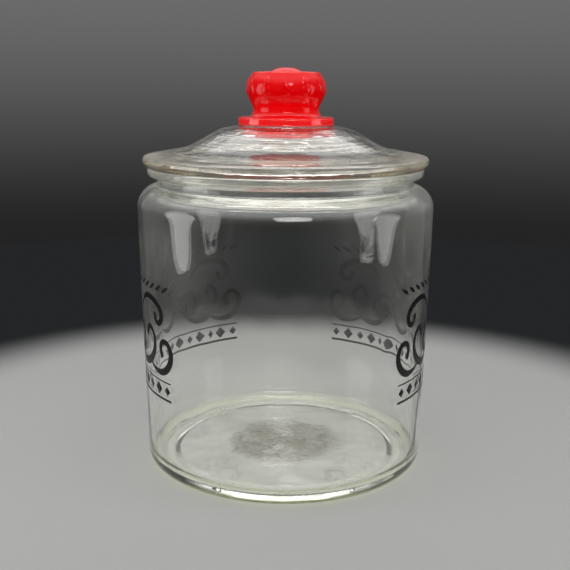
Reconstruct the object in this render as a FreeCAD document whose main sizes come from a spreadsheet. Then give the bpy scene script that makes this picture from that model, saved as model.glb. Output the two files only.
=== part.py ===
"""Countertop peanut jar of clear pressed glass, with a loose glass lid and its red knob.

Millimetres, +Z up. The origin is the middle of the foot, on the surface that the jar stands on.
Every piece is turned about the Z axis. Its sketch is a half section: named corners bound to
the spreadsheet, and arcs that round them. Widths follow from the jar's shoulder inwards and
outwards, and heights are stacked from the foot up, so that the lid keeps to the mouth and the
knob to the lid when a size changes.
"""

import FreeCAD, Part
import math
import os
import re

import Sketcher
from FreeCAD import Rotation, Vector

doc = FreeCAD.newDocument("CounterJar")


# ---------------------------------------------------------------- driving dimensions

SIZES = {
    # jar body
    "shoulder_radius": 95.2,
    "body_taper": 3.7,
    "crease_height": 182.0,
    "shoulder_rise": 1.8,
    "wall": 4.2,
    "floor_thickness": 4.5,
    "floor_rise": 1.5,
    "floor_crown_radius": 45.0,
    "push_up": 2.0,
    "bearing_width": 17.0,
    "push_up_slope": 4.0,
    "heel_round": 7.0,
    "inner_heel_round": 8.0,
    "shoulder_round": 13.5,
    "inner_shoulder_round": 9.0,
    # neck and rolled lip
    "neck_inset": 13.2,
    "neck_wall": 4.5,
    "neck_height": 4.6,
    "lip_thickness": 6.4,
    "lip_overhang": 6.2,
    "lip_slope": 1.4,
    "neck_round": 1.2,
    "lip_round": 2.4,
    "mouth_round": 1.8,
    # lid
    "brim_overhang": 2.8,
    "brim_undercut": 2.5,
    "brim_edge": 2.8,
    "brim_thickness": 6.8,
    "brim_rise": 4.9,
    "brim_width": 27.4,
    "ogee_rise": 13.6,
    "crown_margin": 8.6,
    "crown_glass": 5.3,
    "brim_glass": 5.2,
    "hollow_step": 1.8,
    "brim_round": 2.6,
    "ogee_round": 28.0,
    "ring_clearance": 1.3,
    "ring_depth": 7.5,
    "ring_thickness": 4.6,
    "ring_round": 1.5,
    "disc_margin": 0.7,
    "disc_thickness": 5.3,
    "disc_round": 0.8,
    # knob
    "knob_neck_radius": 20.9,
    "knob_neck_height": 6.4,
    "flare_width": 8.8,
    "flare_edge": 0.5,
    "flare_round": 4.0,
    "grip_width": 3.9,
    "grip_rise": 8.0,
    "grip_band": 7.5,
    "grip_fall": 6.4,
    "rim_inset": 3.8,
    "rim_width": 8.2,
    "groove_depth": 0.9,
    "groove_width": 1.0,
    "button_rise": 2.7,
    "button_slope": 5.6,
    "waist_round": 8.0,
    "grip_round": 12.0,
    "rim_round": 2.0,
    "button_round": 12.0,
}

sheet = doc.addObject("Spreadsheet::Sheet", "Sizes")
for row, (alias, size) in enumerate(SIZES.items(), start=1):
    sheet.set(f"A{row}", alias)
    sheet.set(f"B{row}", str(size))
    sheet.setAlias(f"B{row}", alias)
doc.recompute()


def bound(text):
    """An expression in which every size's name points at its cell of the spreadsheet."""
    return re.sub(r"[a-z_]+", lambda word: f"Sizes.{word[0]}" if word[0] in SIZES else word[0], text)


# ---------------------------------------------------------------- sketches and revolutions

ON_AXIS = "0"
SMALL_ROUND = 0.1


def origin_feature(body, role):
    """One of the body's own origin planes or axes."""
    return next(item for item in body.Origin.OriginFeatures if item.Role == role)


def place(sketch, kind, side, name, value, expression):
    """Binds the start of a side, along one direction from the origin, to an expression."""
    index = sketch.addConstraint(Sketcher.Constraint(kind, -1, 1, side, 1, value))
    sketch.renameConstraint(index, name)
    sketch.setExpression(f"Constraints.{name}", bound(expression))


def half_section(body, corners):
    """A closed sketch on the XZ plane through named corners, each a radius and a height.

    Both are expressions in the spreadsheet's names. The straight sides start on a unit
    circle, and the solver then moves every corner to its place.
    """
    sketch = body.newObject("Sketcher::SketchObject", f"{body.Label}_section")
    sketch.AttachmentSupport = [(origin_feature(body, "XZ_Plane"), "")]
    sketch.MapMode = "FlatFace"
    count = len(corners)
    turn = 2 * math.pi / count
    start = [Vector(math.cos(turn * i), math.sin(turn * i), 0) for i in range(count)]
    for i in range(count):
        sketch.addGeometry(Part.LineSegment(start[i], start[(i + 1) % count]), False)
    for i in range(count):
        sketch.addConstraint(Sketcher.Constraint("Coincident", i, 2, (i + 1) % count, 1))
    for i, (corner, (radius, height)) in enumerate(corners.items()):
        if radius == ON_AXIS:
            sketch.addConstraint(Sketcher.Constraint("PointOnObject", i, 1, -2))
        else:
            place(sketch, "DistanceX", i, f"{corner}_radius", start[i].x, radius)
        place(sketch, "DistanceY", i, f"{corner}_height", start[i].y, height)
    doc.recompute()
    return sketch


def round_corner(sketch, side, name, radius):
    """Rounds the corner where a side starts; the sharp corner stays as the arc's reference."""
    arc = len(sketch.Geometry)
    sketch.fillet(side, 1, SMALL_ROUND, True, True)
    index = sketch.addConstraint(Sketcher.Constraint("Radius", arc, SMALL_ROUND))
    sketch.renameConstraint(index, name)
    sketch.setExpression(f"Constraints.{name}", bound(radius))
    doc.recompute()


def turned_piece(label, corners, rounds):
    """A body turned once about the Z axis from its half section with rounded corners."""
    body = doc.addObject("PartDesign::Body", f"{label}_body")
    body.Label = label
    sketch = half_section(body, corners)
    for side, corner in enumerate(corners):
        if corner in rounds:
            round_corner(sketch, side, f"{corner}_round", rounds[corner])
    turned = body.newObject("PartDesign::Revolution", f"{label}_turned")
    turned.Profile = sketch
    turned.ReferenceAxis = (sketch, ["V_Axis"])
    turned.Angle = 360
    sketch.Visibility = False
    doc.recompute()
    body.Tip = turned
    return body


# ---------------------------------------------------------------- jar
# The wall tapers a little towards the foot. The foot bears on a ring round a shallow push-up,
# its floor rises a little towards the middle, and the mouth ends in a thick rolled lip with a
# flat top.

FOOT = "shoulder_radius - body_taper"
NECK = "shoulder_radius - neck_inset"
MOUTH = f"{NECK} - neck_wall"
LIP = f"{NECK} + lip_overhang"
FLOOR_TOP = "push_up + floor_thickness"
LIP_UNDERSIDE = "crease_height + neck_height"
MOUTH_TOP = f"{LIP_UNDERSIDE} + lip_thickness"

JAR_CORNERS = {
    "push_up_middle": (ON_AXIS, "push_up"),
    "push_up_edge": (f"{FOOT} - bearing_width - push_up_slope", "push_up"),
    "bearing_inner": (f"{FOOT} - bearing_width", "0"),
    "heel": (FOOT, "0"),
    "shoulder": ("shoulder_radius", "crease_height - shoulder_rise"),
    "crease": (NECK, "crease_height"),
    "lip_root": (NECK, LIP_UNDERSIDE),
    "lip_lower": (LIP, f"{LIP_UNDERSIDE} + lip_slope"),
    "lip_upper": (LIP, MOUTH_TOP),
    "mouth_edge": (MOUTH, MOUTH_TOP),
    "throat": (MOUTH, "crease_height - wall"),
    "inner_shoulder": ("shoulder_radius - wall", "crease_height - shoulder_rise - wall"),
    "inner_heel": (f"{FOOT} - wall", f"{FLOOR_TOP} - floor_rise"),
    "floor_crown": ("floor_crown_radius", FLOOR_TOP),
    "floor_middle": (ON_AXIS, FLOOR_TOP),
}

JAR_ROUNDS = {
    "push_up_edge": "neck_round",
    "bearing_inner": "neck_round",
    "heel": "heel_round",
    "shoulder": "min(shoulder_round; neck_inset + 0.4)",
    "crease": "neck_round",
    "lip_root": "neck_round",
    "lip_lower": "lip_round",
    "lip_upper": "mouth_round",
    "mouth_edge": "min(mouth_round; neck_wall * 0.4)",
    "throat": "lip_round",
    "inner_shoulder": "inner_shoulder_round",
    "inner_heel": "inner_heel_round",
}

jar = turned_piece("jar", JAR_CORNERS, JAR_ROUNDS)


# ---------------------------------------------------------------- lid
# The brim lies flat on the lip, and an ogee rises from it to the crown, which carries a thick
# clear disc under the knob. A ring below the brim drops into the mouth with a clearance.

DISC = "knob_neck_radius + flare_width + disc_margin"
CROWN = f"{DISC} + crown_margin"
BRIM = f"{LIP} + brim_overhang"
WAIST = f"{BRIM} - brim_width"
RING = f"{MOUTH} - ring_clearance"
RING_INSIDE = f"{RING} - ring_thickness"
WAIST_HEIGHT = f"{MOUTH_TOP} + brim_thickness + brim_rise"
CROWN_HEIGHT = f"{WAIST_HEIGHT} + ogee_rise"
DISC_TOP = f"{CROWN_HEIGHT} + disc_thickness"
OGEE_ROUND = f"min(ogee_round; 1.5 * ({WAIST} - ({CROWN})))"

LID_CORNERS = {
    "disc_middle": (ON_AXIS, DISC_TOP),
    "disc_upper": (DISC, DISC_TOP),
    "disc_foot": (DISC, CROWN_HEIGHT),
    "crown": (CROWN, CROWN_HEIGHT),
    "waist": (WAIST, WAIST_HEIGHT),
    "brim_upper": (BRIM, f"{MOUTH_TOP} + brim_thickness"),
    "brim_lower": (BRIM, f"{MOUTH_TOP} + brim_edge"),
    "brim_foot": (f"{BRIM} - brim_undercut", MOUTH_TOP),
    "ring_root": (RING, MOUTH_TOP),
    "ring_outer": (RING, f"{MOUTH_TOP} - ring_depth"),
    "ring_inner": (RING_INSIDE, f"{MOUTH_TOP} - ring_depth"),
    "ring_top": (RING_INSIDE, f"{WAIST_HEIGHT} - brim_glass - hollow_step"),
    "inner_waist": (f"{WAIST} - hollow_step", f"{WAIST_HEIGHT} - brim_glass"),
    "inner_crown": (f"{CROWN} - hollow_step", f"{CROWN_HEIGHT} - crown_glass"),
    "hollow_middle": (ON_AXIS, f"{CROWN_HEIGHT} - crown_glass"),
}

LID_ROUNDS = {
    "disc_upper": "disc_round",
    "crown": f"min({OGEE_ROUND}; 3 * crown_margin)",
    "waist": OGEE_ROUND,
    "brim_upper": "brim_round",
    "brim_lower": "brim_round",
    "ring_outer": "ring_round",
    "ring_inner": "ring_round",
    "ring_top": "ring_round",
    "inner_crown": OGEE_ROUND,
}

lid = turned_piece("lid", LID_CORNERS, LID_ROUNDS)


# ---------------------------------------------------------------- knob
# A short flared neck on the lid's disc, a round grip above it, and a low button in the
# groove of the top.

NECK_TOP = f"{DISC_TOP} + knob_neck_height"
BAND_FOOT = f"{NECK_TOP} + grip_rise"
BAND_TOP = f"{BAND_FOOT} + grip_band"
RIM_TOP = f"{BAND_TOP} + grip_fall"
FLARE = "knob_neck_radius + flare_width"
GRIP = "knob_neck_radius + grip_width"
RIM = f"{GRIP} - rim_inset"
BUTTON = f"{RIM} - rim_width - groove_width"

KNOB_CORNERS = {
    "foot_middle": (ON_AXIS, DISC_TOP),
    "foot": (FLARE, DISC_TOP),
    "flare": (FLARE, f"{DISC_TOP} + flare_edge"),
    "neck_foot": ("knob_neck_radius", f"{DISC_TOP} + flare_edge"),
    "neck_top": ("knob_neck_radius", NECK_TOP),
    "grip_lower": (GRIP, BAND_FOOT),
    "grip_upper": (GRIP, BAND_TOP),
    "rim": (RIM, RIM_TOP),
    "rim_inner": (f"{RIM} - rim_width", RIM_TOP),
    "groove": (BUTTON, f"{RIM_TOP} - groove_depth"),
    "button": (f"{BUTTON} - button_slope", f"{RIM_TOP} + button_rise"),
    "button_middle": (ON_AXIS, f"{RIM_TOP} + button_rise"),
}

KNOB_ROUNDS = {
    "neck_foot": "min(flare_round; 0.9 * flare_width)",
    "neck_top": "min(waist_round; 1.5 * (knob_neck_height - flare_round))",
    "grip_lower": "min(grip_round; 1.7 * grip_band)",
    "grip_upper": "min(grip_round; 1.7 * grip_band)",
    "rim": "rim_round",
    "button": "button_round",
}

knob = turned_piece("knob", KNOB_CORNERS, KNOB_ROUNDS)


# ---------------------------------------------------------------- checks and export

for item in doc.Objects:
    if "Invalid" in item.State or "Error" in item.State:
        raise RuntimeError(f"{item.Name} failed: {item.State}")

os.makedirs("parts", exist_ok=True)
for piece in (jar, lid, knob):
    piece.Placement = FreeCAD.Placement(Vector(0, 0, 0), Rotation())
    shape = piece.Shape
    if shape.isNull() or not shape.isValid() or len(shape.Solids) != 1:
        raise RuntimeError(f"{piece.Label} isn't one valid solid")
    shape.exportStep(f"parts/{piece.Label}.step")
    box = shape.BoundBox
    print(f"{piece.Label}: z {box.ZMin:.1f} to {box.ZMax:.1f} mm, {shape.Volume / 1000:.1f} cm3")
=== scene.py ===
"""Countertop peanut jar: clear pressed glass with a loose glass lid and a red glass knob."""

import math

import bmesh
import bpy
from mathutils import Matrix, Vector


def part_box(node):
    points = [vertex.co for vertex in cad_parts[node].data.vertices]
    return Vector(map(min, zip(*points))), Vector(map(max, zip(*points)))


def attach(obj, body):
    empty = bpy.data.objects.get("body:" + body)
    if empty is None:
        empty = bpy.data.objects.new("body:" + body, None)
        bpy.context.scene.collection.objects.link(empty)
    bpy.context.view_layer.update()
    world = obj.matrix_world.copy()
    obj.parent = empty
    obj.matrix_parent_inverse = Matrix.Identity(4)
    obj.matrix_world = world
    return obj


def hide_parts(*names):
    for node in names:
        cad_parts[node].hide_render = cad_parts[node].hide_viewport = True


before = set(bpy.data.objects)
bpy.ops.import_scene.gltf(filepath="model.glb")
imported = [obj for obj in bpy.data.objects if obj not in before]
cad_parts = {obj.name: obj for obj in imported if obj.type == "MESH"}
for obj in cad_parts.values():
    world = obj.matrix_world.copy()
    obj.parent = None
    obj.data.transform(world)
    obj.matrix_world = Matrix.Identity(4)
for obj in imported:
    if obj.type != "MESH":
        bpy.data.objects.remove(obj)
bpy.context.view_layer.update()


# ---------------------------------------------------------------- jar
# The body is pressed in one piece from soda-lime glass: a heavy foot on a ring, a round shoulder
# and a rolled lip, open at the mouth. It is spun from its outline. The wall's faint waves, the
# stippled patch and the knurls of the foot, and the dust are in its material. So are painted
# highlights: a pale film along the crease under the lip, and a white film on the knurls that is
# partly wear and partly painted highlight.

_, JAR_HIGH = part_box("jar")
SHOULDER_ROUNDED_OFF = 0.0002
WALL_FLARE = 0.0037
WALL = 0.0042
FLOOR_TOP = 0.0065
FLOOR_EDGE = 0.005
FLOOR_CROWN = 0.045
PUSH_UP = 0.002
PUSH_UP_SLOPE = 0.004
BEARING_WIDTH = 0.017
SHOULDER_RISE = 0.0018
NECK_INSET = 0.0132
NECK_HEIGHT = 0.0046
NECK_WALL = 0.0045
LIP_HEIGHT = 0.0064
LIP_REACH = 0.0062
LIP_SLOPE = 0.0014
SHOULDER = JAR_HIGH.x + SHOULDER_ROUNDED_OFF
FOOT = SHOULDER - WALL_FLARE
MOUTH_TOP = JAR_HIGH.z
LIP_UNDERSIDE = MOUTH_TOP - LIP_HEIGHT
CREASE = LIP_UNDERSIDE - NECK_HEIGHT
NECK = SHOULDER - NECK_INSET
LIP = NECK + LIP_REACH
MOUTH = NECK - NECK_WALL

TURN_STEPS = 192
ROUND_STEPS = 9
LONGEST_RUN = 0.004
SAME_PLACE = 1e-6


def round_off(bm, point, radius):
    """Rounds one corner of a wire outline to a radius."""
    first, second = (edge.other_vert(point).co - point.co for edge in point.link_edges)
    turn = math.pi - first.angle(second)
    bmesh.ops.bevel(
        bm, geom=[point], offset=radius * math.tan(turn / 2), offset_type="OFFSET",
        segments=ROUND_STEPS, profile=0.5, affect="VERTICES", material=-1,
    )


def turned(corners, rounds, steps=TURN_STEPS, longest_run=LONGEST_RUN):
    """A closed solid of revolution, as a bmesh.

    The outline runs through named corners, each a radius and a height, from the axis back to
    the axis. Its long runs are cut up, which keeps the shading of the flats true.
    """
    bm = bmesh.new()
    points = {
        corner: bm.verts.new((radius, 0, height)) for corner, (radius, height) in corners.items()
    }
    line = list(points.values())
    for first, second in zip(line, line[1:]):
        bm.edges.new((first, second))
    for corner, radius in rounds.items():
        round_off(bm, points[corner], radius)
    for edge in bm.edges[:]:
        cuts = int(edge.calc_length() / longest_run)
        if cuts:
            bmesh.ops.subdivide_edges(bm, edges=[edge], cuts=cuts)
    bmesh.ops.spin(
        bm, geom=bm.verts[:] + bm.edges[:], cent=(0, 0, 0), axis=(0, 0, 1),
        angle=math.tau, steps=steps, use_merge=True,
    )
    bmesh.ops.remove_doubles(bm, verts=bm.verts, dist=SAME_PLACE)
    bmesh.ops.recalc_face_normals(bm, faces=bm.faces)
    return bm


def placed(name, data):
    """An object in the scene that holds a mesh, a curve, a light or a camera."""
    holder = bpy.data.objects.new(name, data)
    bpy.context.scene.collection.objects.link(holder)
    return holder


def shape(name, bm, finish):
    """An object made from a bmesh, with a material."""
    mesh = bpy.data.meshes.new(name)
    bm.to_mesh(mesh)
    bm.free()
    mesh.materials.append(finish)
    return placed(name, mesh)


def piece(name, bm, finish):
    """A smooth piece of the object, riding on its one body."""
    thing = shape(name, bm, finish)
    faces = thing.data.polygons
    faces.foreach_set("use_smooth", [True] * len(faces))
    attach(thing, "root")
    return thing


class Socket:
    """An output of one of a finish's nodes. Arithmetic on it adds Math nodes."""

    def __init__(self, finish, link):
        self.finish = finish
        self.link = link

    def part(self, output):
        """Another output of the same node, by its number or its name."""
        return Socket(self.finish, self.link.node.outputs[output])

    def math(self, operation, *values):
        """The result of a Math node on this value and any others."""
        inputs = dict(enumerate((self, *values)))
        return self.finish.node("ShaderNodeMath", {"operation": operation}, inputs)

    def __add__(self, other):
        return self.math("ADD", other)

    __radd__ = __add__

    def __sub__(self, other):
        return self.math("SUBTRACT", other)

    def __rsub__(self, other):
        return self.finish.node("ShaderNodeMath", {"operation": "SUBTRACT"}, {0: other, 1: self})

    def __mul__(self, other):
        return self.math("MULTIPLY", other)

    __rmul__ = __mul__


class Finish:
    """A node material, or the world, that is put together node by node."""

    def __init__(self, name, store=bpy.data.materials, output="ShaderNodeOutputMaterial"):
        self.made = store.new(name)
        self.made.use_nodes = True
        self.tree = self.made.node_tree
        self.tree.nodes.clear()
        self.output = self.tree.nodes.new(output)

    def node(self, kind, settings=None, inputs=None, output=0):
        """Adds a node, sets it up, fills its inputs and gives one of its outputs."""
        made = self.tree.nodes.new(kind)
        for name, value in (settings or {}).items():
            setattr(made, name, value)
        for key, value in (inputs or {}).items():
            if isinstance(value, Socket):
                self.tree.links.new(value.link, made.inputs[key])
            else:
                made.inputs[key].default_value = value
        return Socket(self, made.outputs[output])

    def place(self):
        """Where a point is on the piece, in metres."""
        return self.node("ShaderNodeTexCoord", output="Object")

    def round_place(self):
        """A point's distance from the jar's axis, and its height."""
        x = self.node("ShaderNodeSeparateXYZ", inputs={0: self.place()})
        y, z = x.part(1), x.part(2)
        return (x * x + y * y).math("SQRT"), z

    def turn(self):
        """A point's angle round the jar's axis, in radians."""
        x = self.node("ShaderNodeSeparateXYZ", inputs={0: self.place()})
        return x.part(1).math("ARCTAN2", x)

    def stretched(self, scale):
        """The same place, with each direction scaled."""
        return self.node("ShaderNodeMapping", inputs={"Vector": self.place(), "Scale": scale})

    def noise(self, vector, scale, detail, roughness=0.5):
        """Smooth random values from 0 to 1. The scale is roughly in bumps to the metre."""
        inputs = {"Vector": vector, "Scale": scale, "Detail": detail, "Roughness": roughness}
        return self.node("ShaderNodeTexNoise", inputs=inputs)

    def ramp(self, value, low, high, low_result=0.0, high_result=1.0):
        """A value's rise from one level to another, as a smooth step."""
        inputs = {0: value, 1: low, 2: high, 3: low_result, 4: high_result}
        return self.node("ShaderNodeMapRange", {"interpolation_type": "SMOOTHSTEP"}, inputs)

    def blend(self, factor, first, second):
        """A colour between two colours."""
        inputs = {0: factor, 6: first, 7: second}
        return self.node("ShaderNodeMix", {"data_type": "RGBA"}, inputs, output=2)

    def bump(self, height, distance):
        """A normal that a height bends, where a height of 1 stands this many metres up."""
        inputs = {"Height": height, "Distance": distance, "Strength": 1.0}
        return self.node("ShaderNodeBump", inputs=inputs)

    def surface(self, **inputs):
        """The Principled shader, whose input names are written with underscores."""
        named = {name.replace("_", " "): value for name, value in inputs.items()}
        return self.node("ShaderNodeBsdfPrincipled", inputs=named)

    def glass(self, color, roughness, height, distance):
        """Clear glass that bends what is seen through it, but casts only a faint straight shadow."""
        solid = self.surface(
            Base_Color=color,
            Roughness=roughness,
            IOR=GLASS_IOR,
            Transmission_Weight=1.0,
            Normal=self.bump(height, distance),
        )
        shadow = self.node("ShaderNodeLightPath", output="Is Shadow Ray")
        clear = self.node("ShaderNodeBsdfTransparent", inputs={"Color": SHADOW_TINT})
        return self.node("ShaderNodeMixShader", inputs={0: shadow, 1: solid, 2: clear})

    def pale_filmed(self, amount, clean, color, roughness):
        """A shader with a pale matt film over it, as thick as an amount from 0 to 1: dust, and on the
        jar also painted highlights.
        """
        # The film is dust, and on the jar it is also painted highlight on the crease and the knurls.
        dust = self.surface(Base_Color=color, Roughness=roughness)
        return self.node("ShaderNodeMixShader", inputs={0: amount, 1: clean, 2: dust})

    def absorption(self, color, density):
        """The tint that light takes on in the thickness of the glass."""
        inputs = {"Color": color, "Density": density}
        return self.node("ShaderNodeVolumeAbsorption", inputs=inputs)

    def done(self, surface, volume=None):
        """Joins the shaders to the output and gives the material or the world."""
        self.tree.links.new(surface.link, self.output.inputs["Surface"])
        if volume:
            self.tree.links.new(volume.link, self.output.inputs["Volume"])
        return self.made


GLASS_IOR = 1.5
SHADOW_TINT = (0.93, 0.94, 0.92, 1)
JAR_TINT = (0.93, 0.97, 0.70, 1)
JAR_ABSORPTION = 12.0
HEEL_TINT = (0.96, 0.965, 0.78, 1)
HEEL_TINT_TOP = 0.0062
HEEL_TINT_FULL = 0.0045
STIPPLE_RADIUS = 0.040
STIPPLE_RAGGEDNESS = 0.016
STIPPLE_COLOR = (0.27, 0.21, 0.15, 1)
STIPPLE_ROUGHNESS = 0.45
KNURLS = 150
KNURL_RADIUS = FOOT - BEARING_WIDTH + 0.003
KNURL_ROUGHNESS = 0.12
WAVE_HEIGHT = 1.6
GRAIN_HEIGHT = 0.5
KNURL_HEIGHT = 0.7
JAR_RELIEF = 0.0009
SIDE_HAZE = 0.16
FRONT_HAZE = 0.004
# Painted highlight: how thickly the pale film lightens the crease under the lip.
CREASE_PAINTED_HIGHLIGHT = 0.13
SPECK_HAZE = 0.10
HAZE_RISES_FROM = 0.07
HAZE_RISES_TO = 0.17
# The pale film's colour, for dust and scuffs and for the painted highlights alike.
DUST_AND_HIGHLIGHT_COLOR = (0.75, 0.76, 0.74, 1)
# The knurls' white film: partly bearing wear, partly a painted highlight for the foot's bright band
# and glints.
KNURL_SCUFF_AND_GLINT = 0.75
STIPPLE_SCUFF = 0.35


def jar_glass():
    """Old clear glass: a stippled patch and a knurled ring in the foot, a yellowish heel, dust, and
    painted highlights on the crease and the knurls.
    """
    finish = Finish("clear_jar_glass")
    place = finish.place()
    radius, z = finish.round_place()
    grain = finish.noise(place, 240.0, 5.0, 0.62)
    blotch = finish.noise(place, 90.0, 2.0)
    ragged = radius + blotch * STIPPLE_RAGGEDNESS
    middle = finish.ramp(ragged, STIPPLE_RADIUS + 0.010, STIPPLE_RADIUS - 0.002)
    underside = finish.ramp(z, PUSH_UP + 0.001, PUSH_UP + 0.0002)
    patch = middle * underside * finish.ramp(grain, 0.38, 0.62, 0.3, 1.0)
    ring = finish.ramp((radius - KNURL_RADIUS).math("ABSOLUTE"), 0.004, 0.001) * underside
    ridges = (finish.turn() * KNURLS).math("SINE") + blotch * 2.0 - 1.0
    knurls = finish.ramp(ridges, 0.1, 0.5) * ring
    low = finish.ramp(z, HEEL_TINT_TOP, HEEL_TINT_FULL)
    heel = low * finish.ramp(radius, FOOT - 0.008, FOOT - 0.004)
    waves = finish.noise(finish.stretched((1, 1, 0.4)), 20.0, 2.0)
    worn = finish.blend(patch, (1, 1, 1, 1), STIPPLE_COLOR)
    glass = finish.glass(
        finish.blend(heel, worn, HEEL_TINT),
        patch * STIPPLE_ROUGHNESS + ring * KNURL_ROUGHNESS,
        waves * WAVE_HEIGHT + grain * middle * underside * GRAIN_HEIGHT + knurls * KNURL_HEIGHT,
        JAR_RELIEF,
    )
    specks = finish.ramp(finish.noise(place, 1100.0, 2.0), 0.68, 0.76)
    patches = finish.ramp(finish.noise(place, 26.0, 3.0), 0.35, 0.70, 0.35, 1.0)
    grazing = finish.node("ShaderNodeLayerWeight", inputs={"Blend": 0.5}, output="Facing")
    upper = finish.ramp(z, HAZE_RISES_FROM, HAZE_RISES_TO, 0.45, 1.0)
    # Painted highlight: the crease under the lip is lightened with the pale film.
    crease_highlight = finish.ramp(z, CREASE - 0.003, CREASE + 0.002) * CREASE_PAINTED_HIGHLIGHT
    # The veil is dust on the wall, together with the painted highlight along the crease.
    veil = (grazing * SIDE_HAZE + FRONT_HAZE + crease_highlight + specks * SPECK_HAZE) * patches * upper
    # The knurls' white film is partly wear and partly a painted highlight. The stipple's white film
    # is wear.
    scuffs_and_glints = knurls * KNURL_SCUFF_AND_GLINT + patch * finish.ramp(grain, 0.60, 0.66) * STIPPLE_SCUFF
    # The pale film carries dust, wear and painted highlights.
    aged = finish.pale_filmed(veil + scuffs_and_glints, glass, DUST_AND_HIGHLIGHT_COLOR, 0.9)
    return finish.done(aged, finish.absorption(JAR_TINT, JAR_ABSORPTION))


JAR_CORNERS = {
    "push_up_middle": (0, PUSH_UP),
    "push_up_edge": (FOOT - BEARING_WIDTH - PUSH_UP_SLOPE, PUSH_UP),
    "bearing_inner": (FOOT - BEARING_WIDTH, 0),
    "heel": (FOOT, 0),
    "shoulder": (SHOULDER, CREASE - SHOULDER_RISE),
    "crease": (NECK, CREASE),
    "lip_root": (NECK, LIP_UNDERSIDE),
    "lip_lower": (LIP, LIP_UNDERSIDE + LIP_SLOPE),
    "lip_upper": (LIP, MOUTH_TOP),
    "mouth_edge": (MOUTH, MOUTH_TOP),
    "throat": (MOUTH, CREASE - WALL),
    "inner_shoulder": (SHOULDER - WALL, CREASE - SHOULDER_RISE - WALL),
    "inner_heel": (FOOT - WALL, FLOOR_EDGE),
    "floor_crown": (FLOOR_CROWN, FLOOR_TOP),
    "floor_middle": (0, FLOOR_TOP),
}
JAR_ROUNDS = {
    "push_up_edge": 0.0012,
    "bearing_inner": 0.0012,
    "heel": 0.007,
    "shoulder": 0.0135,
    "crease": 0.0012,
    "lip_root": 0.0012,
    "lip_lower": 0.0024,
    "lip_upper": 0.0018,
    "mouth_edge": 0.0018,
    "throat": 0.0024,
    "inner_shoulder": 0.009,
    "inner_heel": 0.008,
    "floor_crown": 0.3,
}
jar = piece("jar_glass", turned(JAR_CORNERS, JAR_ROUNDS), jar_glass())
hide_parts("jar")


# ---------------------------------------------------------------- enamel decoration
# Black enamel is screened and fired on the outside of the wall, once on each side, about a tenth
# of a millimetre thick: pods and scrolls under a garland of leaves, over a row of lozenges
# between two rules. It is drawn flat in millimetres and then bent round the wall.

ENAMEL_THICKNESS = 0.00012
DECORATION_MIDDLE = 0.0895
BACKWARD_TURN = math.radians(12)
MM = 0.001


def stroke(bm, points, radii):
    """Adds a rounded stroke through points, which swells to a radius at each of them."""
    curve = bpy.data.curves.new("stroke", "CURVE")
    curve.dimensions = "3D"
    curve.bevel_depth = 1.0
    curve.bevel_resolution = 3
    curve.resolution_u = 10
    curve.use_fill_caps = True
    line = curve.splines.new("NURBS")
    line.points.add(len(points) - 1)
    for spot, (across, up), radius in zip(line.points, points, radii):
        spot.co = (across * MM, up * MM, 0, 1)
        spot.radius = radius * MM
    line.order_u = 4
    line.use_endpoint_u = True
    holder = placed("stroke", curve)
    evaluated = holder.evaluated_get(bpy.context.evaluated_depsgraph_get())
    mesh = bpy.data.meshes.new_from_object(evaluated)
    bm.from_mesh(mesh)
    bpy.data.objects.remove(holder)
    bpy.data.curves.remove(curve)
    bpy.data.meshes.remove(mesh)


def mirrored(points):
    """The same points on the other side of the middle."""
    return [(-across, up) for across, up in points]


POD_STEPS = (-9.5, -8.5, -5.0, 0.0, 5.0, 8.5, 9.5)
POD_RADII = (0.4, 3.4, 6.2, 3.6, 5.6, 3.0, 0.4)


def pod(bm, across, up, lean):
    """A peanut pod: two bulbs with a waist between them."""
    along = Vector((math.sin(lean), math.cos(lean)))
    middle = Vector((across, up))
    stroke(bm, [middle + along * step for step in POD_STEPS], POD_RADII)


LEAF_SHARES = (0, 0.3, 0.6, 1)
LEAF_TIP = 0.2


def leaf(bm, start, end, width):
    """A slim leaf with a point at each end."""
    first, last = Vector(start), Vector(end)
    points = [first.lerp(last, share) for share in LEAF_SHARES]
    stroke(bm, points, (LEAF_TIP, width, width, LEAF_TIP))


LOZENGE_DEPTH = 0.6


def lozenge(bm, across, up, size):
    """A diamond on its point."""
    made = bmesh.ops.create_circle(bm, cap_ends=True, segments=4, radius=size * MM)
    bmesh.ops.translate(bm, verts=made["verts"], vec=(across * MM, up * MM, 0))
    faces = {face for point in made["verts"] for face in point.link_faces}
    bmesh.ops.solidify(bm, geom=list(faces), thickness=LOZENGE_DEPTH * MM)


FLOURISH = [(2, -12), (14, -18), (27, -9), (32, 4), (44, 8), (52, -2), (47, -12), (38, -10), (38, -2)]
FLOURISH_RADII = (1.0, 2.4, 3.0, 2.2, 1.5, 2.4, 2.6, 1.8, 1.6)
TENDRIL = [(30, -2), (42, -17), (58, -18), (72, -6), (70, 8), (60, 10), (58, 2)]
TENDRIL_RADII = (0.7, 1.8, 2.8, 2.3, 1.6, 1.8, 2.0)
SPRAY = [(62, -14), (74, -21), (88, -15), (91, -2), (83, 5), (76, -1), (80, -8)]
SPRAY_RADII = (0.7, 2.0, 2.6, 2.2, 1.8, 1.6, 2.0)
PLUME = [(44, 16), (52, 27), (68, 29), (82, 22), (80, 12), (72, 12), (72, 19)]
PLUME_RADII = (0.6, 1.6, 2.2, 2.4, 1.9, 1.5, 1.8)
SCROLLS = (
    (FLOURISH, FLOURISH_RADII),
    (TENDRIL, TENDRIL_RADII),
    (SPRAY, SPRAY_RADII),
    (PLUME, PLUME_RADII),
)
PODS = ((-7, 20, -0.42), (8, 21, 0.5))
LEAVES = (((15, 13), (31, 22), 2.6), ((13, 9), (28, 11), 2.0))
GARLAND = range(30, 91, 8)
GARLAND_LOW = 33
GARLAND_HIGH = 37
GARLAND_WIDTH = 1.5
LOZENGE_ROW = -29
LOZENGE_PITCH = 10.5
LOZENGES_A_SIDE = 8
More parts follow.
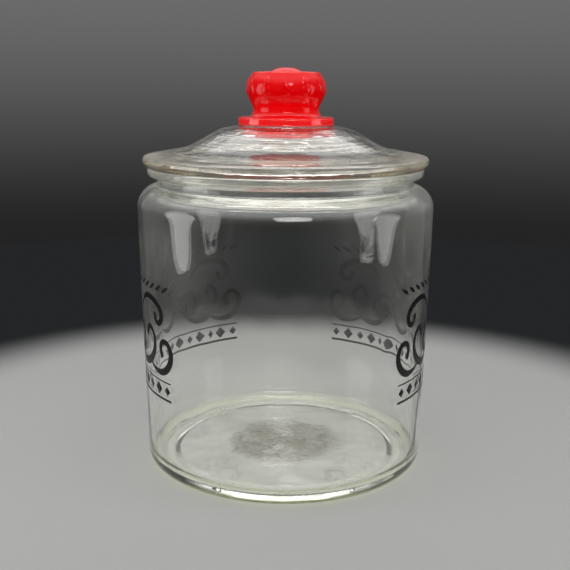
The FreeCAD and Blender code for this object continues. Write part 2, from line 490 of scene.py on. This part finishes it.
SMALL_LOZENGE = 3.0
LARGE_LOZENGE = 4.2
RULES = ((-35, 0.8), (-23.6, 0.5))
RULE_REACH = 88
RULE_STEP = 8


def rule(bm, up, radius):
    """A thin level line across the decoration."""
    places = range(-RULE_REACH, RULE_REACH + 1, RULE_STEP)
    stroke(bm, [(across, up) for across in places], [radius] * len(places))


def flat_decoration():
    """The whole decoration, flat, with its middle at the origin."""
    bm = bmesh.new()
    for points, radii in SCROLLS:
        stroke(bm, points, radii)
        stroke(bm, mirrored(points), radii)
    for across, up, lean in PODS:
        pod(bm, across, up, lean)
    for side in (-1, 1):
        for (start, low), (end, high), width in LEAVES:
            leaf(bm, (side * start, low), (side * end, high), width)
        for across in GARLAND:
            start = (side * (across - 4), GARLAND_LOW)
            leaf(bm, start, (side * (across + 3), GARLAND_HIGH), GARLAND_WIDTH)
    for place in range(-LOZENGES_A_SIDE, LOZENGES_A_SIDE + 1):
        size = LARGE_LOZENGE if place % 2 else SMALL_LOZENGE
        lozenge(bm, place * LOZENGE_PITCH, LOZENGE_ROW, size)
    for up, radius in RULES:
        rule(bm, up, radius)
    return bm


def wall_radius(height):
    """The outer wall's radius, which grows from the foot to the shoulder."""
    share = height / (CREASE - SHOULDER_RISE)
    return FOOT + (SHOULDER - FOOT) * share


def wrap(bm, facing):
    """Bends a flat decoration round the wall, with its middle facing one way.

    Its depth is pressed into the enamel's thickness, from a tenth to nine tenths of it.
    """
    for point in bm.verts:
        across, up, depth = point.co
        height = DECORATION_MIDDLE + up
        share = 0.5 + 0.4 * max(-1.0, min(1.0, depth / MM))
        radius = wall_radius(height) + ENAMEL_THICKNESS * share
        angle = facing + across / wall_radius(DECORATION_MIDDLE)
        point.co = (radius * math.cos(angle), radius * math.sin(angle), height)


ENAMEL_BLACK = (0.004, 0.004, 0.005, 1)
ENAMEL_WORN = (0.03, 0.03, 0.03, 1)


def enamel():
    """Fired black enamel, slightly satin, with fine wear."""
    finish = Finish("black_enamel")
    wear = finish.noise(finish.place(), 900.0, 3.0)
    return finish.done(finish.surface(
        Base_Color=finish.blend(finish.ramp(wear, 0.62, 0.75), ENAMEL_BLACK, ENAMEL_WORN),
        Roughness=finish.ramp(wear, 0.3, 0.7, 0.30, 0.45),
        Specular_IOR_Level=0.25,
        Normal=finish.bump(wear, 0.00005),
    ))


black_enamel = enamel()
for side, facing in (("right", BACKWARD_TURN), ("left", math.pi - BACKWARD_TURN)):
    decoration = flat_decoration()
    wrap(decoration, facing)
    bmesh.ops.recalc_face_normals(decoration, faces=decoration.faces)
    piece(f"enamel_{side}", decoration, black_enamel)


# ---------------------------------------------------------------- lid
# The lid is pressed from clear glass and spun from its outline. Its brim lies on the lip, a ring
# drops into the mouth, and an ogee rises to a thick clear disc under the knob. It is hollow
# below, faintly warm in tint, and worn and dusty at the brim.

LID_LOW, LID_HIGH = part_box("lid")
INSIDE_THE_SOLID = 0.00005
SEAT_GAP = 0.00008
BRIM_HEIGHT = 0.0068
BRIM_WIDTH = 0.0274
BRIM_EDGE_RISE = 0.0028
BRIM_EDGE_SLOPE = 0.0025
WAIST_RISE = 0.0049
DISC = 0.0304
DISC_THICKNESS = 0.0053
CROWN_MARGIN = 0.0086
CROWN_GLASS = 0.0053
BRIM_GLASS = 0.0052
HOLLOW_STEP = 0.0018
RING_CLEARANCE = 0.0013
RING_THICKNESS = 0.0046
BRIM = LID_HIGH.x - INSIDE_THE_SOLID
BRIM_TOP = MOUTH_TOP + BRIM_HEIGHT
WAIST = BRIM - BRIM_WIDTH
WAIST_HEIGHT = BRIM_TOP + WAIST_RISE
DISC_TOP = LID_HIGH.z
CROWN_HEIGHT = DISC_TOP - DISC_THICKNESS
CROWN = DISC + CROWN_MARGIN
RING = MOUTH - RING_CLEARANCE
RING_INSIDE = RING - RING_THICKNESS

LID_CORNERS = {
    "disc_middle": (0, DISC_TOP),
    "disc_upper": (DISC, DISC_TOP),
    "disc_foot": (DISC, CROWN_HEIGHT),
    "crown": (CROWN, CROWN_HEIGHT),
    "waist": (WAIST, WAIST_HEIGHT),
    "brim_upper": (BRIM, BRIM_TOP),
    "brim_lower": (BRIM, MOUTH_TOP + BRIM_EDGE_RISE),
    "brim_foot": (BRIM - BRIM_EDGE_SLOPE, MOUTH_TOP + SEAT_GAP),
    "ring_root": (RING, MOUTH_TOP + SEAT_GAP),
    "ring_outer": (RING, LID_LOW.z),
    "ring_inner": (RING_INSIDE, LID_LOW.z),
    "ring_top": (RING_INSIDE, WAIST_HEIGHT - BRIM_GLASS - HOLLOW_STEP),
    "inner_waist": (WAIST - HOLLOW_STEP, WAIST_HEIGHT - BRIM_GLASS),
    "inner_crown": (CROWN - HOLLOW_STEP, CROWN_HEIGHT - CROWN_GLASS),
    "hollow_middle": (0, CROWN_HEIGHT - CROWN_GLASS),
}
LID_ROUNDS = {
    "disc_upper": 0.0008,
    "crown": 0.0258,
    "waist": 0.028,
    "brim_upper": 0.0026,
    "brim_lower": 0.0026,
    "brim_foot": 0.0005,
    "ring_root": 0.0005,
    "ring_outer": 0.0015,
    "ring_inner": 0.0015,
    "ring_top": 0.0015,
    "inner_crown": 0.028,
}


LID_TINT = (0.96, 0.88, 0.70, 1)
LID_ABSORPTION = 14.0
LID_RELIEF = 0.0010
MOULD_RING_HEIGHT = 0.3
BRIM_DUST = (0.80, 0.76, 0.66, 1)
BRIM_HAZE = 0.20
LID_HAZE = 0.02


def lid_glass():
    """Clear glass with fine rings from the mould, and a warm worn cast at the brim."""
    finish = Finish("clear_lid_glass")
    radius, z = finish.round_place()
    swirl = finish.noise(finish.place(), 45.0, 3.0)
    rings = finish.noise(finish.node("ShaderNodeCombineXYZ", inputs={0: radius, 1: z}), 330.0, 1.0)
    glass = finish.glass((1, 1, 1, 1), 0.0, swirl + rings * MOULD_RING_HEIGHT, LID_RELIEF)
    brim = finish.ramp(radius, WAIST, BRIM - 0.004)
    wear = finish.ramp(swirl, 0.35, 0.65, 0.3, 1.0)
    veil = (brim * BRIM_HAZE + LID_HAZE) * wear
    aged = finish.pale_filmed(veil, glass, BRIM_DUST, 0.7)
    return finish.done(aged, finish.absorption(LID_TINT, LID_ABSORPTION))


lid = piece("lid_glass", turned(LID_CORNERS, LID_ROUNDS), lid_glass())
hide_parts("lid")


# ---------------------------------------------------------------- knob
# The knob is opaque red glass, fused to the lid, and goes on a little way down inside its disc.
# A band of raised pods and leaves runs round the grip, and inside a groove in the top there is
# a low button. It is spun from its outline, and then the band is raised.

_, KNOB_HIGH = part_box("knob")
KNOB_NECK = 0.0209
KNOB_NECK_HEIGHT = 0.0064
FLARE_EDGE = 0.0005
FUSED = 0.0046
GRIP_SWELL = 0.0039
GRIP_RISE = 0.008
BAND_HEIGHT = 0.0075
RIM_RISE = 0.0064
RIM_INSET = 0.0038
RIM_WIDTH = 0.0082
GROOVE_WIDTH = 0.001
GROOVE_DEPTH = 0.0009
BUTTON_SLOPE = 0.0056
FLARE = KNOB_HIGH.x - INSIDE_THE_SOLID
GRIP = KNOB_NECK + GRIP_SWELL
NECK_TOP = DISC_TOP + KNOB_NECK_HEIGHT
BAND_FOOT = NECK_TOP + GRIP_RISE
BAND_TOP = BAND_FOOT + BAND_HEIGHT
RIM_TOP = BAND_TOP + RIM_RISE
RIM = GRIP - RIM_INSET
RIM_INSIDE = RIM - RIM_WIDTH
BUTTON = RIM_INSIDE - GROOVE_WIDTH
GROOVE = RIM_TOP - GROOVE_DEPTH
BUTTON_TOP = KNOB_HIGH.z

KNOB_CORNERS = {
    "foot_middle": (0, DISC_TOP - FUSED),
    "foot": (FLARE, DISC_TOP - FUSED),
    "flare": (FLARE, DISC_TOP + FLARE_EDGE),
    "neck_foot": (KNOB_NECK, DISC_TOP + FLARE_EDGE),
    "neck_top": (KNOB_NECK, NECK_TOP),
    "grip_lower": (GRIP, BAND_FOOT),
    "grip_upper": (GRIP, BAND_TOP),
    "rim": (RIM, RIM_TOP),
    "rim_inner": (RIM_INSIDE, RIM_TOP),
    "groove": (BUTTON, GROOVE),
    "button": (BUTTON - BUTTON_SLOPE, BUTTON_TOP),
    "button_middle": (0, BUTTON_TOP),
}
KNOB_ROUNDS = {
    "flare": 0.0003,
    "neck_foot": 0.004,
    "neck_top": 0.0036,
    "grip_lower": 0.012,
    "grip_upper": 0.012,
    "rim": 0.002,
    "rim_inner": 0.0008,
    "groove": 0.0004,
    "button": 0.012,
}
KNOB_TURN_STEPS = 288
KNOB_LONGEST_RUN = 0.0006
RELIEF_HEIGHT = 0.0006
RELIEF_MIDDLE = (BAND_FOOT + BAND_TOP) / 2 + 0.0015
RELIEF_LOW = BAND_FOOT - 0.005
RELIEF_HIGH = RIM_TOP - 0.001
RELIEF_PITCH = math.tau / 12
LEAF_UPRIGHT = 0.94
LEAF_ASIDE = 0.34
LEAF_HEIGHT = 0.8
POD_WAIST_HEIGHT = 0.75


def bulb(across, up, wide, tall):
    """How far a point stands up on a smooth low bulb, from 0 outside it to 1 in its middle."""
    reach = (across / wide) ** 2 + (up / tall) ** 2
    return max(0.0, 1.0 - reach) ** 0.5 if reach < 1 else 0.0


def relief(angle, height):
    """The relief at a point of the grip: upright pods, with a leaning leaf between each two."""
    number = round(angle / RELIEF_PITCH)
    across = (angle - number * RELIEF_PITCH) * GRIP
    up = height - RELIEF_MIDDLE
    if number % 2:
        lean = across * LEAF_UPRIGHT + up * LEAF_ASIDE
        rise = up * LEAF_UPRIGHT - across * LEAF_ASIDE
        return LEAF_HEIGHT * bulb(lean, rise, 0.0013, 0.0052)
    upper = bulb(across, up - 0.0024, 0.0026, 0.0030)
    lower = bulb(across, up + 0.0026, 0.0030, 0.0034)
    waist = POD_WAIST_HEIGHT * bulb(across, up, 0.0019, 0.0034)
    return max(upper, lower, waist)


knob_mesh = turned(KNOB_CORNERS, KNOB_ROUNDS, KNOB_TURN_STEPS, KNOB_LONGEST_RUN)
for point in knob_mesh.verts:
    away = Vector((point.co.x, point.co.y, 0))
    if away.length > RIM and RELIEF_LOW < point.co.z < RELIEF_HIGH:
        lift = relief(math.atan2(away.y, away.x), point.co.z)
        point.co += away.normalized() * lift * RELIEF_HEIGHT


KNOB_RED = (0.90, 0.0, 0.001, 1)
KNOB_BRIGHT_RED = (0.96, 0.0, 0.003, 1)


def red_glass():
    """Opaque red glass with a deep gloss and a few faint mould ripples."""
    finish = Finish("red_knob_glass")
    ripple = finish.noise(finish.place(), 120.0, 2.0)
    return finish.done(finish.surface(
        Base_Color=finish.blend(ripple, KNOB_RED, KNOB_BRIGHT_RED),
        Roughness=finish.ramp(ripple, 0.3, 0.7, 0.07, 0.14),
        Specular_IOR_Level=0.3,
        Normal=finish.bump(ripple, 0.0003),
    ))


knob = piece("knob_red", knob_mesh, red_glass())
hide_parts("knob")


# ---------------------------------------------------------------- floor, light and camera
# A plain pale floor fades into a dark backdrop. Soft oval lights stand over and round the jar,
# under a bright ceiling, and the camera looks a little down on it.

BACKDROP = (0.018, 0.019, 0.020, 1)
FLOOR_COLOR = (0.42, 0.42, 0.415, 1)
FLOOR_RADIUS = 0.9
FLOOR_DROP = 0.0001
PALE_RADIUS = 0.27
FADE_RADIUS = 0.38


def floor_finish():
    """A plain pale floor that fades into the backdrop."""
    finish = Finish("pale_floor")
    radius, _ = finish.round_place()
    fade = finish.ramp(radius, PALE_RADIUS, FADE_RADIUS)
    pale = finish.surface(Base_Color=FLOOR_COLOR, Roughness=0.6)
    far = finish.node("ShaderNodeEmission", inputs={"Color": BACKDROP, "Strength": 1.0})
    return finish.done(finish.node("ShaderNodeMixShader", inputs={0: fade, 1: pale, 2: far}))


floor_bm = bmesh.new()
bmesh.ops.create_circle(floor_bm, cap_ends=True, segments=96, radius=FLOOR_RADIUS)
floor = shape("floor", floor_bm, floor_finish())
floor.location.z = -FLOOR_DROP


def panel(name, place, aim, size, power):
    """A soft oval light that faces a point and doesn't show itself."""
    light = bpy.data.lights.new(name, "AREA")
    light.shape = "ELLIPSE"
    light.size, light.size_y = size
    light.energy = power
    holder = placed(name, light)
    holder.location = place
    holder.rotation_euler = (Vector(aim) - Vector(place)).to_track_quat("-Z", "Y").to_euler()
    holder.visible_camera = False


MIDDLE = (0, 0, 0.13)
panel("top_panel", (0, -0.1, 1.0), MIDDLE, (0.9, 0.16), 2.4)
panel("left_panel", (-0.62, -0.10, 0.20), MIDDLE, (0.34, 0.42), 0.8)
panel("right_panel", (0.66, -0.16, 0.20), MIDDLE, (0.30, 0.42), 0.6)
panel("front_panel", (0.1, -1.2, 0.75), MIDDLE, (0.7, 0.3), 4.8)

WALL_LEVELS = (0.018, 0.15)
CEILING = 0.42
CEILING_GLOSS = 1.1
FILL = 0.42


def studio_world():
    """A dark wall that turns to a bright ceiling, which gloss shows brighter than it is.

    Matt surfaces get an even fill instead.
    """
    finish = Finish("studio", bpy.data.worlds, "ShaderNodeOutputWorld")
    upward = finish.node("ShaderNodeTexCoord", output="Generated")
    height = finish.node("ShaderNodeSeparateXYZ", inputs={0: upward}).part(2)
    rays = finish.node("ShaderNodeLightPath")
    camera_ray = rays.part("Is Camera Ray")
    glossy_ray = rays.part("Is Glossy Ray")
    clear_ray = rays.part("Is Transmission Ray")
    wall = finish.ramp(height, -0.16, 0.12, *WALL_LEVELS)
    ceiling = finish.ramp(height, 0.30, 0.75)
    level = wall + ceiling * (glossy_ray * CEILING_GLOSS + CEILING)
    room = finish.node("ShaderNodeBackground", inputs={"Color": (1, 1, 1, 1), "Strength": level})
    fill = finish.node("ShaderNodeBackground", inputs={"Color": (1, 1, 1, 1), "Strength": FILL})
    seen = (camera_ray + glossy_ray + clear_ray).math("MINIMUM", 1.0)
    return finish.done(finish.node("ShaderNodeMixShader", inputs={0: seen, 1: fill, 2: room}))


bpy.context.scene.world = studio_world()

CAMERA_PLACE = (0, -0.5753, 0.2435)
CAMERA_DOWNWARD = 12.635
CAMERA_ROLL = 0.36

camera = bpy.data.cameras.new("camera")
camera.lens = 56.2
camera.sensor_width = 36.0
camera_holder = placed("camera", camera)
camera_holder.location = CAMERA_PLACE
tilt = Matrix.Rotation(math.radians(90 - CAMERA_DOWNWARD), 4, "X")
roll = Matrix.Rotation(math.radians(CAMERA_ROLL), 4, "Z")
camera_holder.rotation_euler = (tilt @ roll).to_euler()
bpy.context.scene.camera = camera_holder
bpy.context.scene.view_settings.view_transform = "Standard"
